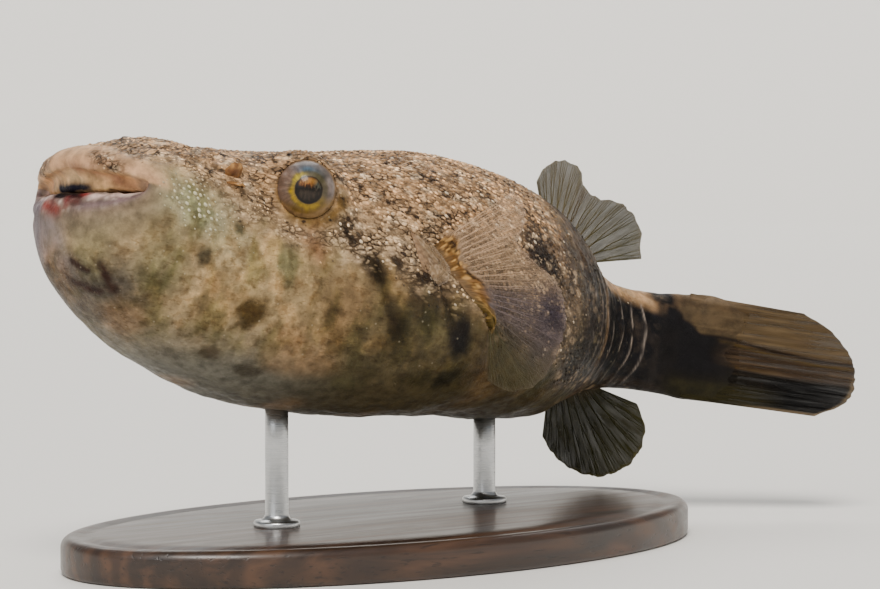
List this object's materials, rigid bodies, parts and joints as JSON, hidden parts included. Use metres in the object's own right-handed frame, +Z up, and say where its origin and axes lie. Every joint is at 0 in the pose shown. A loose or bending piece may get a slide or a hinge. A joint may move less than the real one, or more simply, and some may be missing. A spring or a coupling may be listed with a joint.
{
  "type": "freshwater pufferfish display model",
  "caption": "Life-size freshwater pufferfish in a swimming pose, tail turned to its left, held by two short rods on a flat oval base.",
  "frame": {"origin": "centre of the stand base's underside, on the floor", "axes": "+Z up, snout towards -X and tail towards +X, the fish's left side towards -Y"},
  "size_m": [0.112, 0.046, 0.0474],
  "materials": {
    "skin_back": "satin",
    "skin_belly": "satin",
    "lips": "satin",
    "fin": "satin",
    "fin_base": "satin",
    "eye": "gloss",
    "stand_wood": "satin",
    "stand_steel": "satin"
  },
  "bodies": {
    "root": {"upper_lip": "lips", "lower_lip": "lips", "head": "skin_back", "trunk": "skin_back", "belly": "skin_belly", "peduncle": "skin_back", "dorsal_fin": "fin", "anal_fin": "fin", "caudal_fin": "fin", "eye_left": "eye", "eye_right": "eye", "pectoral_fin_left": "fin", "pectoral_fin_right": "fin", "gill_flap_left": "skin_belly", "gill_flap_right": "skin_belly", "nostril_left": "fin_base", "nostril_right": "fin_base", "stand_base": "stand_wood", "stand_rod_front": "stand_steel", "stand_rod_rear": "stand_steel"}
  },
  "joints": []
}
